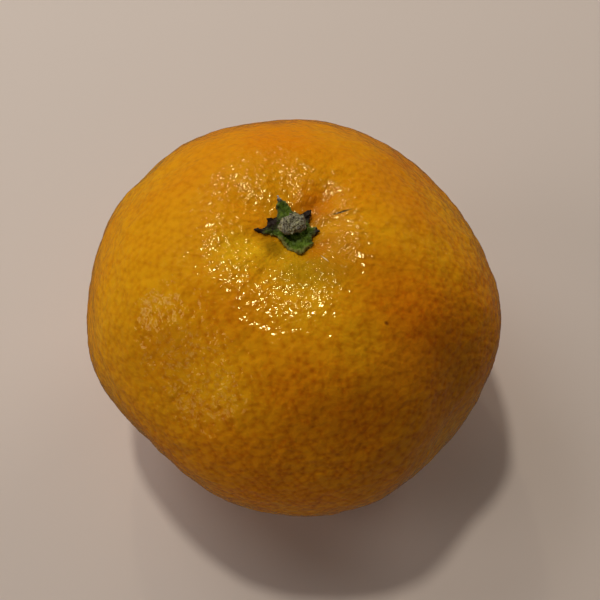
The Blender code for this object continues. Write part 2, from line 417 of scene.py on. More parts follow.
def apply_modifier(thing, kind, **settings):
    """Add a modifier with its settings to an object and apply it."""
    take(thing)
    modifier = thing.modifiers.new(kind.lower(), kind)
    for name, value in settings.items():
        setattr(modifier, name, value)
    bpy.ops.object.modifier_apply(modifier=modifier.name)


def cloud_texture(name, size, depth):
    """A soft random pattern for a Displace modifier, at a size in metres."""
    texture = bpy.data.textures.new(name, "CLOUDS")
    texture.noise_scale = size
    texture.noise_depth = depth
    return texture


def weigh_points(thing, name, weight):
    """Give an object a vertex group whose weight is a function of a vertex's place."""
    group = thing.vertex_groups.new(name=name)
    for vertex in thing.data.vertices:
        amount = weight(vertex.co)
        if amount > 0:
            group.add([vertex.index], amount, "REPLACE")


def group_weights(thing, name):
    """Each vertex's weight in a vertex group."""
    index = thing.vertex_groups[name].index
    weights = []
    for vertex in thing.data.vertices:
        weights.append(sum(member.weight for member in vertex.groups if member.group == index))
    return weights


def store_points(thing, name, values):
    """Give an object a float attribute, one value for each vertex, for its material to read."""
    attribute = thing.data.attributes.new(name, "FLOAT", "POINT")
    attribute.data.foreach_set("value", values)


def add_node(tree, kind, inputs=None, **settings):
    """Add a shader node, set it up, and fill its inputs with values or with other nodes' outputs."""
    node = tree.nodes.new(kind)
    for name, value in settings.items():
        setattr(node, name, value)
    for name, value in (inputs or {}).items():
        if isinstance(value, bpy.types.NodeSocket):
            tree.links.new(value, node.inputs[name])
        else:
            node.inputs[name].default_value = value
    return node


def new_material(name, **sockets):
    """A material with one Principled shader whose sockets are set straight."""
    material = bpy.data.materials.new(name)
    material.use_nodes = True
    shader = material.node_tree.nodes["Principled BSDF"]
    for socket, value in sockets.items():
        shader.inputs[socket.replace("_", " ")].default_value = value
    return material, material.node_tree, shader


def finish_piece(piece, name, node, material):
    """Name a finished piece, give it its material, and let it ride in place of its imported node."""
    piece.name = name
    piece.data.name = name
    piece.data.materials.clear()
    piece.data.materials.append(material)
    take(piece)
    bpy.ops.object.shade_smooth()
    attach(piece, "root")
    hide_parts(node)


class RindSettings(bpy.types.PropertyGroup):
    """Sizes and colours of the rind."""

    gland_depth: bpy.props.FloatProperty(
        name="Gland depth", description="How deep the dimple over an oil gland is",
        default=0.17 * MM, min=0.0, unit="LENGTH", precision=5)
    gland_bump: bpy.props.FloatProperty(
        name="Gland bump", description="How high an oil gland stands out near the calyx",
        default=0.25 * MM, min=0.0, unit="LENGTH", precision=5)
    deep_skin: bpy.props.FloatVectorProperty(
        name="Deep skin", description="Skin between the oil glands where the rind is a deep orange",
        default=colour("E28209"), size=4, subtype="COLOR", min=0.0, max=1.0)
    yellow_skin: bpy.props.FloatVectorProperty(
        name="Yellow skin", description="Skin between the oil glands where the rind is yellower",
        default=colour("E8AB12"), size=4, subtype="COLOR", min=0.0, max=1.0)
    deep_glands: bpy.props.FloatVectorProperty(
        name="Deep glands", description="Oil glands where the rind is a deep orange",
        default=colour("C55C01"), size=4, subtype="COLOR", min=0.0, max=1.0)
    yellow_glands: bpy.props.FloatVectorProperty(
        name="Yellow glands", description="Oil glands where the rind is yellower",
        default=colour("CD8205"), size=4, subtype="COLOR", min=0.0, max=1.0)


class CalyxSettings(bpy.types.PropertyGroup):
    """Colours of the calyx."""

    leaf_colour: bpy.props.FloatVectorProperty(
        name="Green", description="Darker green of the living part",
        default=colour("323F06"), size=4, subtype="COLOR", min=0.0, max=1.0)
    pale_leaf: bpy.props.FloatVectorProperty(
        name="Pale green", description="Paler green of the living part",
        default=colour("5F7620"), size=4, subtype="COLOR", min=0.0, max=1.0)
    rim_colour: bpy.props.FloatVectorProperty(
        name="Rim", description="Colour of the papery edge",
        default=colour("9A8A50"), size=4, subtype="COLOR", min=0.0, max=1.0)
    dried_colour: bpy.props.FloatVectorProperty(
        name="Dried", description="Colour of the tips that have shrivelled",
        default=colour("2B1F19"), size=4, subtype="COLOR", min=0.0, max=1.0)
    bleached_colour: bpy.props.FloatVectorProperty(
        name="Bleached", description="Colour of the bit that has bleached",
        default=colour("E6DCC8"), size=4, subtype="COLOR", min=0.0, max=1.0)


class StubSettings(bpy.types.PropertyGroup):
    """Colours of the stem stub."""

    wood_colour: bpy.props.FloatVectorProperty(
        name="Wood", description="Colour of the wood between the fibres",
        default=colour("5A5340"), size=4, subtype="COLOR", min=0.0, max=1.0)
    fibre_colour: bpy.props.FloatVectorProperty(
        name="Fibres", description="Colour of the dry fibres",
        default=colour("B4AF7E"), size=4, subtype="COLOR", min=0.0, max=1.0)
    bark_colour: bpy.props.FloatVectorProperty(
        name="Bark", description="Colour of the greyer, older patches",
        default=colour("8B8279"), size=4, subtype="COLOR", min=0.0, max=1.0)


class StageSettings(bpy.types.PropertyGroup):
    """Sizes and colours of the floor and the lights."""

    floor_size: bpy.props.FloatProperty(
        name="Floor size", description="Length of each side of the floor",
        default=3.0, min=0.5, unit="LENGTH")
    floor_colour: bpy.props.FloatVectorProperty(
        name="Floor", description="Colour of the plain floor",
        default=colour("D3C4B8"), size=4, subtype="COLOR", min=0.0, max=1.0)


def smooth_guide():
    """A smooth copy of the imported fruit, for the rind to follow."""
    take(frame["nodes"]["fruit"])
    bpy.ops.object.duplicate()
    guide = bpy.context.object
    bpy.ops.object.parent_clear(type="CLEAR_KEEP_TRANSFORM")
    edit_all()
    bpy.ops.mesh.remove_doubles(threshold=GUIDE_MERGE)
    angle = math.radians(GUIDE_JOIN_ANGLE)
    bpy.ops.mesh.tris_convert_to_quads(face_threshold=angle, shape_threshold=angle)
    apply_modifier(guide, "SUBSURF", levels=SMOOTH_LEVELS, render_levels=SMOOTH_LEVELS)
    return guide


def gland_ball():
    """A ball with an oil gland at every vertex, unevenly spaced as on a real rind."""
    deselect_all()
    bpy.ops.mesh.primitive_ico_sphere_add(subdivisions=GLAND_SUBDIVISIONS, radius=1.0)
    ball = bpy.context.object
    edit_all()
    bpy.ops.transform.vertex_random(offset=GLAND_JITTER, uniform=0.0, normal=0.0, seed=GLAND_SEED)
    bpy.ops.mesh.remove_doubles(threshold=GLAND_MERGE)
    bpy.ops.transform.tosphere(value=1.0)
    bpy.ops.mesh.delete(type="EDGE_FACE")
    bpy.ops.mesh.select_all(action="SELECT")
    bpy.ops.mesh.convex_hull(join_triangles=False)
    bpy.ops.transform.resize(
        value=(OVAL_HALF_WIDTH, OVAL_HALF_WIDTH, OVAL_HALF_HEIGHT), center_override=(0, 0, 0))
    bpy.ops.transform.translate(value=WAIST)
    bpy.ops.object.mode_set(mode="OBJECT")
    return ball


def patch_shares(thing, patches):
    """For each vertex the sum of the amounts of all patches that reach it."""
    ways = [(direction(patch.azimuth, patch.height), patch) for patch in patches.values()]
    shares = []
    for vertex in thing.data.vertices:
        away = (vertex.co - WAIST).normalized()
        share = 0.0
        for towards, patch in ways:
            apart = math.degrees(math.acos(max(-1.0, min(1.0, away.dot(towards)))))
            share += patch.amount * bell(apart, patch.spread)
        shares.append(share)
    return shares


def gland_shares(ball, centres):
    """For each vertex how deep it lies in a gland's pit, how high on a gland's bump near the calyx, and how
    much of a gland's colour shows there."""
    tree = KDTree(len(centres))
    for index, centre in enumerate(centres):
        tree.insert(centre, index)
    tree.balance()
    draw = random.Random(GLAND_SEED)
    depths = [draw.uniform(*GLAND_DEPTH_SHARES) for centre in centres]
    tones = [draw.uniform(*GLAND_TONE_SHARES) for centre in centres]
    pits = []
    bumps = []
    dots = []
    for vertex, faded in zip(ball.data.vertices, patch_shares(ball, FAINT_GLAND_PATCHES)):
        place, index, away = tree.find(vertex.co)
        radius = from_axis(vertex.co)[1]
        above = vertex.co.z > WAIST.z
        raised = bell(max(0, radius - GLAND_BUMP_RING), GLAND_BUMP_REACH) * above
        relief = bell(away, GLAND_PIT_RADIUS) * depths[index] * (1 - bell(radius, GLAND_SMOOTH_REACH))
        pits.append(relief * (1 - raised) * (1 - faded))
        bumps.append(relief * raised)
        clearness = (1 - faded) * (1 - GLAND_CLEAR_SHARE * bell(radius, GLAND_CLEAR_REACH) * above)
        dots.append(bell(away ** 2, GLAND_DOT_RADIUS ** 2) * tones[index] * clearness)
    return pits, bumps, dots


def rib_pattern():
    """A function of a place that says how high the ribs round the stem cavity stand there."""
    draw = random.Random(RIB_SEED)
    ribs = []
    for index in range(RIB_COUNT):
        azimuth = 360 * (index + draw.uniform(-RIB_AZIMUTH_SHARE, RIB_AZIMUTH_SHARE)) / RIB_COUNT
        start = RIB_START + draw.uniform(0, RIB_START_SPREAD)
        end = start + draw.uniform(*RIB_LENGTH_SHARES) * (RIB_END - RIB_START)
        ribs.append(Rib(azimuth, start, end, draw.uniform(*RIB_HEIGHT_SHARES)))

    def height(place):
        azimuth, radius = from_axis(place)
        if place.z < WAIST.z or not RIB_START < radius < RIB_END:
            return 0.0
        rise = 0.0
        for rib in ribs:
            if not rib.start < radius < rib.end:
                continue
            along = (radius - rib.start) / (rib.end - rib.start)
            across = math.radians(turn_between(azimuth, rib.azimuth)) * radius
            rise = max(rise, rib.height * math.sin(math.pi * along) * bell(across, RIB_WIDTH))
        return rise

    return height


def crease_height(tree, flat, radius):
    """A node output with fine creases that run out from the stem axis and fade away from it."""
    outwards = add_node(tree, "ShaderNodeVectorMath", {0: flat.outputs["Vector"]}, operation="NORMALIZE")
    turned = add_node(tree, "ShaderNodeVectorMath", {
        0: outwards.outputs["Vector"], "Scale": CREASE_COUNT / (2 * math.pi)}, operation="SCALE")
    parts = add_node(tree, "ShaderNodeSeparateXYZ", {0: turned.outputs["Vector"]})
    along = add_node(tree, "ShaderNodeMath", {
        0: radius.outputs["Value"], 1: 1 / CREASE_LENGTH}, operation="MULTIPLY")
    polar = add_node(tree, "ShaderNodeCombineXYZ", {
        "X": parts.outputs["X"], "Y": parts.outputs["Y"], "Z": along.outputs["Value"]})
    noise = add_node(tree, "ShaderNodeTexNoise", {
        "Vector": polar.outputs["Vector"], "Scale": 1.0, "Detail": 2.0})
    fade = add_node(tree, "ShaderNodeMapRange", {
        "Value": radius.outputs["Value"], "From Min": CREASE_FADE_START, "From Max": CREASE_FADE_END,
        "To Min": 1.0, "To Max": 0.0})
    height = add_node(tree, "ShaderNodeMath", {
        0: noise.outputs["Fac"], 1: fade.outputs["Result"]}, operation="MULTIPLY")
    return height.outputs["Value"]


def mark_share(tree, place, mark):
    """A node output that is a mark's strength in its middle and falls to nothing at its edge."""
    middle = Vector((STEM_AXIS.x, STEM_AXIS.y, 0)) + Vector((mark.x, mark.y, mark.z)) * MM
    fitted = add_node(tree, "ShaderNodeMapping", {
        "Vector": place, "Location": middle, "Rotation": (0, 0, math.radians(mark.turn)),
        "Scale": (mark.length * MM / 2, mark.width * MM / 2, mark.length * MM)}, vector_type="TEXTURE")
    away = add_node(tree, "ShaderNodeVectorMath", {0: fitted.outputs["Vector"]}, operation="LENGTH")
    share = add_node(tree, "ShaderNodeMapRange", {
        "Value": away.outputs["Value"], "From Min": MARK_EVEN_SHARE, "From Max": 1.0,
        "To Min": mark.strength, "To Max": 0.0})
    return share.outputs["Result"]


def rind_material(settings):
    """Fresh citrus rind: waxy and a little translucent, so light blurs under it and the oil glands show
    as darker dots in a paler net of skin."""
    material, tree, shader = new_material(
        "fresh waxy rind", IOR=ORGANIC_IOR, Specular_IOR_Level=RIND_GLOSS,
        Specular_Tint=colour(RIND_GLOSS_TINT), Subsurface_Weight=RIND_BLUR_SHARE,
        Subsurface_Radius=RIND_BLUR, Subsurface_Scale=MM)
    place = add_node(tree, "ShaderNodeTexCoord").outputs["Object"]
    gland = add_node(tree, "ShaderNodeAttribute", attribute_name="gland").outputs["Fac"]
    yellow = add_node(tree, "ShaderNodeAttribute", attribute_name="yellow").outputs["Fac"]
    broad = add_node(tree, "ShaderNodeTexNoise", {
        "Vector": place, "Scale": 1 / RIND_DRIFT_SIZE, "Detail": 3.0})
    grain = add_node(tree, "ShaderNodeTexNoise", {
        "Vector": place, "Scale": 1 / RIND_GRAIN_SIZE, "Detail": 1.0})
    drift = add_node(tree, "ShaderNodeMapRange", {
        "Value": broad.outputs["Fac"], "From Min": NOISE_LOW, "From Max": NOISE_HIGH,
        "To Min": RIND_DRIFT_SHARES[0], "To Max": RIND_DRIFT_SHARES[1]})
    # Painted light and shade ride in the yellow attribute: lighter rims for floor bounce, deeper orange in
    # valleys, hollows and beside the calyx.
    tone_and_painted_light = add_node(tree, "ShaderNodeMath", {
        0: yellow, 1: YELLOW_GAIN, 2: drift.outputs["Result"]}, operation="MULTIPLY_ADD", use_clamp=True)
    net = add_node(tree, "ShaderNodeMix", {
        MIX_FACTOR: tone_and_painted_light.outputs["Value"], MIX_A: settings.deep_skin[:], MIX_B: settings.yellow_skin[:]},
        data_type="RGBA")
    dots = add_node(tree, "ShaderNodeMix", {
        MIX_FACTOR: tone_and_painted_light.outputs["Value"], MIX_A: settings.deep_glands[:], MIX_B: settings.yellow_glands[:]},
        data_type="RGBA")
    skin = add_node(tree, "ShaderNodeMix", {
        MIX_FACTOR: gland, MIX_A: net.outputs[MIX_RESULT], MIX_B: dots.outputs[MIX_RESULT]},
        data_type="RGBA")
    # The broad marks are painted shade round the calyx and on the cheeks, and painted light on one ridge.
    for mark in MARKS.values():
        skin = add_node(tree, "ShaderNodeMix", {
            MIX_FACTOR: mark_share(tree, place, mark), MIX_A: skin.outputs[MIX_RESULT],
            MIX_B: colour(mark.tint)}, data_type="RGBA")
    rough = add_node(tree, "ShaderNodeMapRange", {
        "Value": grain.outputs["Fac"], "From Min": NOISE_LOW, "From Max": NOISE_HIGH,
        "To Min": RIND_ROUGHNESS[0], "To Max": RIND_ROUGHNESS[1]})
    flat = add_node(tree, "ShaderNodeVectorMath", {
        0: place, 1: (1, 1, 0), 2: (-STEM_AXIS.x, -STEM_AXIS.y, 0)}, operation="MULTIPLY_ADD")
    radius = add_node(tree, "ShaderNodeVectorMath", {0: flat.outputs["Vector"]}, operation="LENGTH")
    creases = add_node(tree, "ShaderNodeBump", {
        "Height": crease_height(tree, flat, radius), "Distance": CREASE_HEIGHT, "Strength": 1.0})
    unevenness = add_node(tree, "ShaderNodeMapRange", {
        "Value": radius.outputs["Value"], "From Min": CREASE_FADE_START, "From Max": CREASE_FADE_END,
        "To Min": 1.0, "To Max": RIND_GRAIN_FAR_SHARE})
    smoothing = add_node(tree, "ShaderNodeMapRange", {
        "Value": radius.outputs["Value"], "From Min": RIND_GRAIN_NEAR_START,
        "From Max": RIND_GRAIN_NEAR_END, "To Min": RIND_GRAIN_NEAR_SHARE, "To Max": 1.0})
    relief = add_node(tree, "ShaderNodeMath", {
        0: unevenness.outputs["Result"], 1: smoothing.outputs["Result"]}, operation="MULTIPLY")
    bump = add_node(tree, "ShaderNodeBump", {
        "Height": grain.outputs["Fac"], "Distance": RIND_GRAIN_HEIGHT,
        "Strength": relief.outputs["Value"], "Normal": creases.outputs["Normal"]})
    tree.links.new(skin.outputs[MIX_RESULT], shader.inputs["Base Color"])
    tree.links.new(rough.outputs["Result"], shader.inputs["Roughness"])
    tree.links.new(bump.outputs["Normal"], shader.inputs["Normal"])
    return material


class MANDARIN_OT_add_rind(bpy.types.Operator):
    """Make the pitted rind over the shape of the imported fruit"""

    bl_idname = "mandarin.add_rind"
    bl_label = "Add rind"

    def execute(self, context):
        settings = context.scene.mandarin_rind
        guide = smooth_guide()
        rind = gland_ball()
        centres = [vertex.co.copy() for vertex in rind.data.vertices]
        take(rind)
        edit_all()
        bpy.ops.mesh.subdivide(number_cuts=GLAND_CUTS)
        bpy.ops.object.mode_set(mode="OBJECT")
        pits, bumps, dots = gland_shares(rind, centres)
        apply_modifier(rind, "SHRINKWRAP", target=guide, wrap_method="PROJECT",
                       use_negative_direction=True, use_positive_direction=True)
        bpy.data.objects.remove(guide, do_unlink=True)

        weigh_points(rind, "above_floor", lambda place: min(1.0, place.z / RELIEF_START))
        for name, size, height in (
                ("rind lumps", LUMP_SIZE, LUMP_HEIGHT), ("rind pebbles", PEBBLE_SIZE, PEBBLE_HEIGHT)):
            apply_modifier(rind, "DISPLACE", texture=cloud_texture(name, size, 1), texture_coords="LOCAL",
                           strength=height, mid_level=RELIEF_MIDDLE, vertex_group="above_floor")
        weigh_points(rind, "ribs", rib_pattern())
        apply_modifier(rind, "DISPLACE", vertex_group="ribs", strength=RIB_HEIGHT, mid_level=0.0)
        for name, shares, height in (
                ("pits", pits, -settings.gland_depth), ("bumps", bumps, settings.gland_bump)):
            group = rind.vertex_groups.new(name=name)
            for index, share in enumerate(shares):
                group.add([index], share, "REPLACE")
            apply_modifier(rind, "DISPLACE", vertex_group=name, strength=height, mid_level=0.0)
        store_points(rind, "gland", dots)
        # The patches paint bounce light on the rims and shade in the valleys, along with the rind's own
        # yellower places.
        store_points(rind, "yellow", patch_shares(rind, YELLOW_AND_PAINTED_LIGHT_PATCHES))
        finish_piece(rind, "rind_skin", "fruit", rind_material(settings))
        return {"FINISHED"}


def draw_rim(calyx, azimuth, move, reach, falloff):
    """Move the rim's vertex at an azimuth, and what lies within reach of it less and less."""
    bpy.ops.mesh.select_all(action="DESELECT")
    shape = bmesh.from_edit_mesh(calyx.data)
    shape.verts.ensure_lookup_table()
    rim = shape.verts[:CALYX_SEGMENTS]
    nearest = min(rim, key=lambda vertex: turn_between(from_axis(vertex.co)[0], azimuth))
    nearest.select_set(True)
    bmesh.update_edit_mesh(calyx.data)
    bpy.ops.transform.translate(
        value=move, use_proportional_edit=True, proportional_edit_falloff=falloff, proportional_size=reach)


def dried_share(place):
    """How far a place on the calyx has dried: one at the tip of a tooth that has."""
    share = 0.0
    for tooth in TEETH.values():
        if tooth.dry_reach > 0:
            tip = STEM_AXIS + direction(tooth.azimuth, 0) * (CALYX_DISC_RADIUS + tooth.draw * MM)
            share = max(share, bell((place - tip).xy.length, tooth.dry_reach * MM))
    return share


def bleached_share(place):
    """How far a place on the calyx has bleached, which it has only beside the top tooth's tip."""
    return bell((place - STEM_AXIS - CALYX_BLEACHED).xy.length, CALYX_BLEACHED_REACH)


def calyx_sheet():
    """The calyx as a flat sheet above the fruit, with its teeth drawn out of a disc."""
    deselect_all()
    bpy.ops.mesh.primitive_circle_add(
        vertices=CALYX_SEGMENTS, radius=CALYX_DISC_RADIUS,
        location=(STEM_AXIS.x, STEM_AXIS.y, STUB_HIGH.z + CALYX_DROP))
    calyx = bpy.context.object
    bpy.ops.object.transform_apply(location=True, rotation=True, scale=True)
    middle = calyx.data.vertices[0].co.copy()
    middle.xy = STEM_AXIS.xy
    edit_all()
    share = 1.0
    for inner in CALYX_RING_SHARES:
        bpy.ops.mesh.extrude_edges_move()
        step = inner / share
        bpy.ops.transform.resize(value=(step, step, 1), center_override=middle)
        share = inner
    bpy.ops.mesh.edge_face_add()
    bpy.ops.mesh.poke()
    bpy.ops.mesh.select_all(action="SELECT")
    bpy.ops.mesh.normals_make_consistent(inside=False)
    for tooth in TEETH.values():
        outward = direction(tooth.azimuth, 0) * tooth.draw * MM
        draw_rim(calyx, tooth.azimuth, outward, tooth.base * MM, "LINEAR")
    bpy.ops.object.mode_set(mode="OBJECT")
    return calyx


class MANDARIN_OT_add_calyx(bpy.types.Operator):
    """Make the green calyx with its uneven, partly dried teeth in the stem cavity"""

    bl_idname = "mandarin.add_calyx"
    bl_label = "Add calyx"

    def execute(self, context):
        settings = context.scene.mandarin_calyx
        calyx = calyx_sheet()
        apply_modifier(calyx, "SHRINKWRAP", target=bpy.data.objects["rind_skin"], wrap_method="PROJECT",
                       use_project_z=True, use_negative_direction=True, use_positive_direction=False,
                       offset=CALYX_GAP)
        take(calyx)
        edit_all()
        bpy.ops.mesh.vertices_smooth(
            factor=0.5, repeat=CALYX_SMOOTH_STEPS, xaxis=False, yaxis=False, zaxis=True)
        for tooth in TEETH.values():
            draw_rim(calyx, tooth.azimuth, (0, 0, tooth.lift * MM), tooth.lift_reach * MM, "SMOOTH")
        bpy.ops.object.mode_set(mode="OBJECT")

        rim = calyx.vertex_groups.new(name="rim")
        rim.add(list(range(CALYX_SEGMENTS)), 1.0, "REPLACE")
        weigh_points(calyx, "thickness", lambda place: 1 - min(1.0, from_axis(place)[1] / CALYX_TIP_RADIUS))
        apply_modifier(calyx, "SOLIDIFY", thickness=CALYX_THICKNESS, offset=1.0, vertex_group="thickness",
                       thickness_vertex_group=CALYX_TIP_SHARE)
        apply_modifier(calyx, "SUBSURF", levels=SMOOTH_LEVELS, render_levels=SMOOTH_LEVELS)
        for name, size, height in (
                ("calyx folds", CALYX_FOLD_SIZE, CALYX_FOLD_HEIGHT),
                ("calyx bumps", CALYX_BUMP_SIZE, CALYX_BUMP_HEIGHT)):
            apply_modifier(calyx, "DISPLACE", texture=cloud_texture(name, size, 1), texture_coords="LOCAL",
                           strength=height, mid_level=0.5)
        store_points(calyx, "dried", [dried_share(vertex.co) for vertex in calyx.data.vertices])
        store_points(calyx, "bleached", [bleached_share(vertex.co) for vertex in calyx.data.vertices])
        store_points(calyx, "papery", group_weights(calyx, "rim"))
        finish_piece(calyx, "calyx_star", "calyx", calyx_material(settings))
        return {"FINISHED"}


def calyx_material(settings):
    """Half-dried sepal: leathery green on top, brown to black where the thin tips have shrivelled, with a
    paler papery rim."""
    material, tree, shader = new_material(
        "half-dried green sepal", IOR=ORGANIC_IOR, Specular_IOR_Level=CALYX_GLOSS)
    place = add_node(tree, "ShaderNodeTexCoord").outputs["Object"]
    dried = add_node(tree, "ShaderNodeAttribute", attribute_name="dried").outputs["Fac"]
    rim = add_node(tree, "ShaderNodeAttribute", attribute_name="papery").outputs["Fac"]
    bleached = add_node(tree, "ShaderNodeAttribute", attribute_name="bleached").outputs["Fac"]
    patch = add_node(tree, "ShaderNodeTexNoise", {
        "Vector": place, "Scale": 1 / CALYX_PATCH_SIZE, "Detail": 3.0})
    grain = add_node(tree, "ShaderNodeTexNoise", {
        "Vector": place, "Scale": 1 / CALYX_GRAIN_SIZE, "Detail": 3.0})
    spread = add_node(tree, "ShaderNodeMapRange", {
        "Value": patch.outputs["Fac"], "From Min": CALYX_PATCH_EDGE[0], "From Max": CALYX_PATCH_EDGE[1],
        "To Min": 0.0, "To Max": 1.0})
    green = add_node(tree, "ShaderNodeMix", {
        MIX_FACTOR: spread.outputs["Result"], MIX_A: settings.leaf_colour[:], MIX_B: settings.pale_leaf[:]},
        data_type="RGBA")
    edge = add_node(tree, "ShaderNodeMath", {0: rim, 1: CALYX_RIM_SHARE}, operation="MULTIPLY")
    edged = add_node(tree, "ShaderNodeMix", {
        MIX_FACTOR: edge.outputs["Value"], MIX_A: green.outputs[MIX_RESULT], MIX_B: settings.rim_colour[:]},
        data_type="RGBA")
    ragged = add_node(tree, "ShaderNodeMath", {
        0: grain.outputs["Fac"], 1: CALYX_RAGGEDNESS, 2: dried}, operation="MULTIPLY_ADD")
    withered = add_node(tree, "ShaderNodeMapRange", {
        "Value": ragged.outputs["Value"], "From Min": CALYX_DRIED_EDGE[0], "From Max": CALYX_DRIED_EDGE[1],
        "To Min": 0.0, "To Max": 1.0})
    shrivelled = add_node(tree, "ShaderNodeMix", {
        MIX_FACTOR: withered.outputs["Result"], MIX_A: edged.outputs[MIX_RESULT],
        MIX_B: settings.dried_colour[:]}, data_type="RGBA")
    whole = add_node(tree, "ShaderNodeMix", {
        MIX_FACTOR: bleached, MIX_A: shrivelled.outputs[MIX_RESULT], MIX_B: settings.bleached_colour[:]},
        data_type="RGBA")
    rough = add_node(tree, "ShaderNodeMapRange", {
        "Value": grain.outputs["Fac"], "From Min": NOISE_LOW, "From Max": NOISE_HIGH,
        "To Min": CALYX_ROUGHNESS[0], "To Max": CALYX_ROUGHNESS[1]})
    bump = add_node(tree, "ShaderNodeBump", {
        "Height": grain.outputs["Fac"], "Distance": CALYX_GRAIN_HEIGHT, "Strength": CALYX_GRAIN_SHARE})
    tree.links.new(whole.outputs[MIX_RESULT], shader.inputs["Base Color"])
    tree.links.new(rough.outputs["Result"], shader.inputs["Roughness"])
    tree.links.new(bump.outputs["Normal"], shader.inputs["Normal"])
    return material


def stub_dome():
    """The stub's worn dome, raised ring by ring out of an oval cylinder."""
    deselect_all()
    base = Vector((STEM_AXIS.x, STEM_AXIS.y, STUB_LOW.z - STUB_SINK)) + STUB_SHIFT
    bpy.ops.mesh.primitive_cylinder_add(
        vertices=STUB_SEGMENTS, radius=1.0, depth=STUB_WALL, location=base + Vector((0, 0, STUB_WALL / 2)),
        rotation=(0, 0, math.radians(STUB_TURN)), scale=(STUB_HALF_WIDTH, STUB_HALF_DEPTH, 1))
    stub = bpy.context.object
    bpy.ops.object.transform_apply(location=True, rotation=True, scale=True)
    edit_all()
    top = base.z + STUB_WALL
    select_points(stub, lambda place: place.z > top - STUB_WALL_TOLERANCE)
    for inwards, upwards in STUB_STEPS:
        bpy.ops.mesh.inset(thickness=inwards * MM)
        bpy.ops.transform.translate(value=(0, 0, upwards * MM))
    bpy.ops.mesh.poke()
    bpy.ops.object.mode_set(mode="OBJECT")
    apply_modifier(stub, "SUBSURF", levels=SMOOTH_LEVELS, render_levels=SMOOTH_LEVELS)
    take(stub)
    edit_all()
    pit = STEM_AXIS + STUB_PIT
    shape = bmesh.from_edit_mesh(stub.data)
    crown = [vertex for vertex in shape.verts if vertex.co.z > top]
    lowest = min(crown, key=lambda vertex: (vertex.co - pit).xy.length)
    bpy.ops.mesh.select_all(action="DESELECT")
    lowest.select_set(True)
    bmesh.update_edit_mesh(stub.data)
    bpy.ops.transform.translate(
        value=(0, 0, -STUB_PIT_DEPTH), use_proportional_edit=True, proportional_edit_falloff="SMOOTH",
        proportional_size=STUB_PIT_REACH)
    bpy.ops.object.mode_set(mode="OBJECT")
    return stub


def add_fibres(stub):
    """Copy one straight fibre over the stub, most of all its back right side, and join the copies to it."""
    draw = random.Random(FIBRE_SEED)
    deselect_all()
    bpy.ops.mesh.primitive_cylinder_add(
        vertices=FIBRE_SIDES, radius=FIBRE_RADIUS, depth=FIBRE_LENGTH, rotation=(0, math.radians(90), 0))
    fibre = bpy.context.object
    bpy.ops.object.transform_apply(location=True, rotation=True, scale=True)
    fibres = []
    for index in range(FIBRE_COUNT):
        azimuth = FIBRE_AZIMUTH + draw.gauss(0, FIBRE_AZIMUTH_SPREAD)
        radius = draw.uniform(*FIBRE_PLACE_RADII) * MM
        spot = STEM_AXIS + direction(azimuth, 0) * radius
        hit, place, normal, face = stub.ray_cast(
            Vector((spot.x, spot.y, RAY_START_HEIGHT)), Vector((0, 0, -1)))
        if not hit:
            continue
        take(fibre)
        bpy.ops.object.duplicate()
        copy = bpy.context.object
        across = Vector((-math.sin(math.radians(azimuth)), math.cos(math.radians(azimuth)), 0))
        along = across + Vector((
            draw.gauss(0, FIBRE_SWAY), draw.gauss(0, FIBRE_SWAY), draw.gauss(0, FIBRE_TILT)))
        along = (along - along.dot(normal) * normal).normalized()
        copy.location = place - normal * FIBRE_SINK
        copy.rotation_euler = along.to_track_quat("X", "Z").to_euler()
        copy.scale = (
            draw.uniform(*FIBRE_LENGTH_SHARES), draw.uniform(*FIBRE_WIDTH_SHARES),
            draw.uniform(*FIBRE_WIDTH_SHARES))
        fibres.append(copy)
    bpy.data.objects.remove(fibre, do_unlink=True)
    deselect_all()
    for copy in fibres:
        copy.select_set(True)
    stub.select_set(True)
    bpy.context.view_layer.objects.active = stub
    bpy.ops.object.join()


class MANDARIN_OT_add_stub(bpy.types.Operator):
    """Make the worn, fibrous stub of the stalk that stands on the calyx"""

    bl_idname = "mandarin.add_stub"
    bl_label = "Add stem stub"

    def execute(self, context):
        settings = context.scene.mandarin_stub
        stub = stub_dome()
        apply_modifier(stub, "DISPLACE", texture=cloud_texture("stub lumps", STUB_LUMP_SIZE, 2),
                       texture_coords="LOCAL", strength=STUB_LUMP_HEIGHT, mid_level=0.5)
        add_fibres(stub)
        apply_modifier(stub, "REMESH", mode="VOXEL", voxel_size=STUB_VOXEL)
        apply_modifier(stub, "SMOOTH", factor=0.5, iterations=STUB_SMOOTH_STEPS)
        apply_modifier(stub, "DISPLACE", texture=cloud_texture("stub grit", STUB_GRIT_SIZE, 1),
                       texture_coords="LOCAL", strength=STUB_GRIT_HEIGHT, mid_level=0.5)
        finish_piece(stub, "stalk_end", "stem_stub", stub_material(settings))
        return {"FINISHED"}


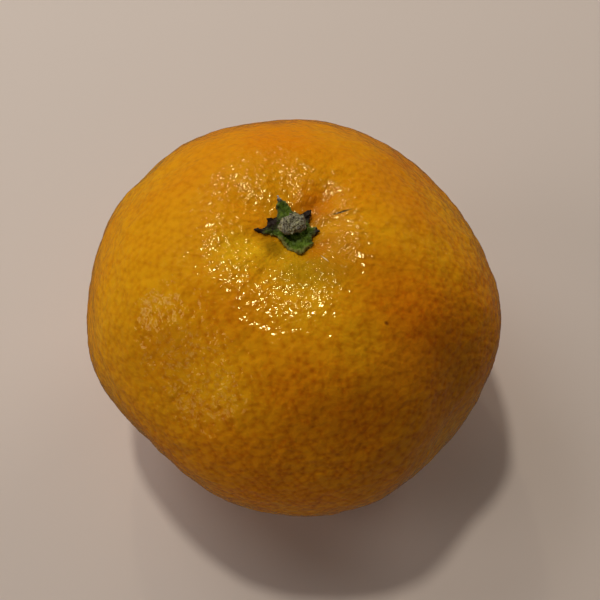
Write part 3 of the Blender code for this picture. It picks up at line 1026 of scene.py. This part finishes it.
def stub_material(settings):
    """Weathered end of a woody stalk: grey-brown wood under dry, greenish fibres that curl round its pit."""
    material, tree, shader = new_material("weathered stalk wood", IOR=ORGANIC_IOR, Roughness=STUB_ROUGHNESS)
    place = add_node(tree, "ShaderNodeTexCoord").outputs["Object"]
    from_pit = add_node(tree, "ShaderNodeVectorMath", {
        0: place, 1: STEM_AXIS + STUB_PIT}, operation="SUBTRACT")
    fibres = add_node(tree, "ShaderNodeTexWave", {
        "Vector": from_pit.outputs["Vector"], "Scale": WAVE_REPEAT / STUB_GRAIN,
        "Distortion": STUB_GRAIN_TANGLE, "Detail": 3.0, "Detail Scale": 3.0},
        wave_type="RINGS", rings_direction="Z")
    patch = add_node(tree, "ShaderNodeTexNoise", {
        "Vector": place, "Scale": 1 / STUB_PATCH_SIZE, "Detail": 3.0})
    spread = add_node(tree, "ShaderNodeMapRange", {
        "Value": patch.outputs["Fac"], "From Min": STUB_PATCH_EDGE[0], "From Max": STUB_PATCH_EDGE[1],
        "To Min": 0.0, "To Max": 1.0})
    dry = add_node(tree, "ShaderNodeMix", {
        MIX_FACTOR: spread.outputs["Result"], MIX_A: settings.fibre_colour[:],
        MIX_B: settings.bark_colour[:]}, data_type="RGBA")
    cover = add_node(tree, "ShaderNodeMapRange", {
        "Value": fibres.outputs["Fac"], "From Min": 0.0, "From Max": 1.0,
        "To Min": STUB_GRAIN_COVER[0], "To Max": STUB_GRAIN_COVER[1]})
    wood = add_node(tree, "ShaderNodeMix", {
        MIX_FACTOR: cover.outputs["Result"], MIX_A: settings.wood_colour[:], MIX_B: dry.outputs[MIX_RESULT]},
        data_type="RGBA")
    bump = add_node(tree, "ShaderNodeBump", {
        "Height": fibres.outputs["Fac"], "Distance": STUB_GRAIN_HEIGHT, "Strength": 1.0})
    tree.links.new(wood.outputs[MIX_RESULT], shader.inputs["Base Color"])
    tree.links.new(bump.outputs["Normal"], shader.inputs["Normal"])
    return material


def add_area_light(name, light):
    """An area light that looks at the fruit's middle from its direction."""
    away = direction(light.azimuth, light.height)
    deselect_all()
    bpy.ops.object.light_add(
        type="AREA", location=WAIST + away * light.distance, rotation=away.to_track_quat("Z", "Y").to_euler())
    lamp = bpy.context.object
    lamp.name = name
    lamp.data.shape = "ELLIPSE"
    lamp.data.size = light.width
    lamp.data.size_y = light.tall
    lamp.data.energy = light.power
    lamp.data.color = colour(light.tint)[:3]
    lamp.visible_glossy = light.gloss


def set_world(light_colour, strength):
    """Even light from all round."""
    scene = bpy.context.scene
    if scene.world is None:
        scene.world = bpy.data.worlds.new("studio")
    scene.world.use_nodes = True
    background = scene.world.node_tree.nodes["Background"]
    background.inputs["Color"].default_value = light_colour
    background.inputs["Strength"].default_value = strength


def add_camera():
    """The photograph's view: the fruit's waist lands on the same pixel, seen from the same height."""
    away = direction(CAMERA_AZIMUTH, CAMERA_HEIGHT_ANGLE)
    deselect_all()
    bpy.ops.object.camera_add(
        location=WAIST + away * CAMERA_DISTANCE, rotation=(math.radians(90 - CAMERA_HEIGHT_ANGLE), 0, 0))
    camera = bpy.context.object
    camera.data.sensor_width = SENSOR_WIDTH
    camera.data.lens = SENSOR_WIDTH * FOCAL_PIXELS / IMAGE_WIDTH
    camera.data.shift_x = (IMAGE_WIDTH / 2 - WAIST_PIXEL[0]) / IMAGE_WIDTH
    camera.data.shift_y = (WAIST_PIXEL[1] - IMAGE_WIDTH / 2) / IMAGE_WIDTH
    camera.data.clip_start = CAMERA_NEAR
    bpy.context.scene.camera = camera


class MANDARIN_OT_add_stage(bpy.types.Operator):
    """Make the plain floor, the soft lights and the camera"""

    bl_idname = "mandarin.add_stage"
    bl_label = "Add stage"

    def execute(self, context):
        settings = context.scene.mandarin_stage
        deselect_all()
        bpy.ops.mesh.primitive_plane_add(size=settings.floor_size)
        floor = bpy.context.object
        floor.name = "studio_floor"
        material, tree, shader = new_material("matt painted board", Roughness=FLOOR_ROUGHNESS)
        shader.inputs["Base Color"].default_value = settings.floor_colour[:]
        floor.data.materials.append(material)
        # Mirrored in the wax, so plain a floor would grey the whole edge of the rind.
        floor.visible_glossy = False
        for name, light in LIGHTS.items():
            add_area_light(name, light)
        set_world(colour(WORLD_TINT), WORLD_STRENGTH)
        add_camera()
        context.scene.view_settings.view_transform = "Standard"
        return {"FINISHED"}


class MANDARIN_PT_pieces(bpy.types.Panel):
    """The pieces of the mandarin, in the 3D view's sidebar"""

    bl_label = "Mandarin orange"
    bl_space_type = "VIEW_3D"
    bl_region_type = "UI"
    bl_category = "Mandarin"

    def draw(self, context):
        for settings, operator in (
                (context.scene.mandarin_rind, MANDARIN_OT_add_rind),
                (context.scene.mandarin_calyx, MANDARIN_OT_add_calyx),
                (context.scene.mandarin_stub, MANDARIN_OT_add_stub),
                (context.scene.mandarin_stage, MANDARIN_OT_add_stage)):
            box = self.layout.box()
            for name in settings.__annotations__:
                box.prop(settings, name)
            box.operator(operator.bl_idname)


CLASSES = (
    RindSettings,
    CalyxSettings,
    StubSettings,
    StageSettings,
    MANDARIN_OT_add_rind,
    MANDARIN_OT_add_calyx,
    MANDARIN_OT_add_stub,
    MANDARIN_OT_add_stage,
    MANDARIN_PT_pieces,
)


def register():
    """Add the classes and the settings to Blender."""
    for item in CLASSES:
        bpy.utils.register_class(item)
    bpy.types.Scene.mandarin_rind = bpy.props.PointerProperty(type=RindSettings)
    bpy.types.Scene.mandarin_calyx = bpy.props.PointerProperty(type=CalyxSettings)
    bpy.types.Scene.mandarin_stub = bpy.props.PointerProperty(type=StubSettings)
    bpy.types.Scene.mandarin_stage = bpy.props.PointerProperty(type=StageSettings)


def unregister():
    """Take the classes and the settings out of Blender again."""
    del bpy.types.Scene.mandarin_stage
    del bpy.types.Scene.mandarin_stub
    del bpy.types.Scene.mandarin_calyx
    del bpy.types.Scene.mandarin_rind
    for item in reversed(CLASSES):
        bpy.utils.unregister_class(item)


def main():
    """Make every piece, then the stage."""
    register()
    bpy.ops.mandarin.add_stage()
    bpy.ops.mandarin.add_rind()
    bpy.ops.mandarin.add_calyx()
    bpy.ops.mandarin.add_stub()
    bpy.context.view_layer.update()


if __name__ == "__main__":
    main()
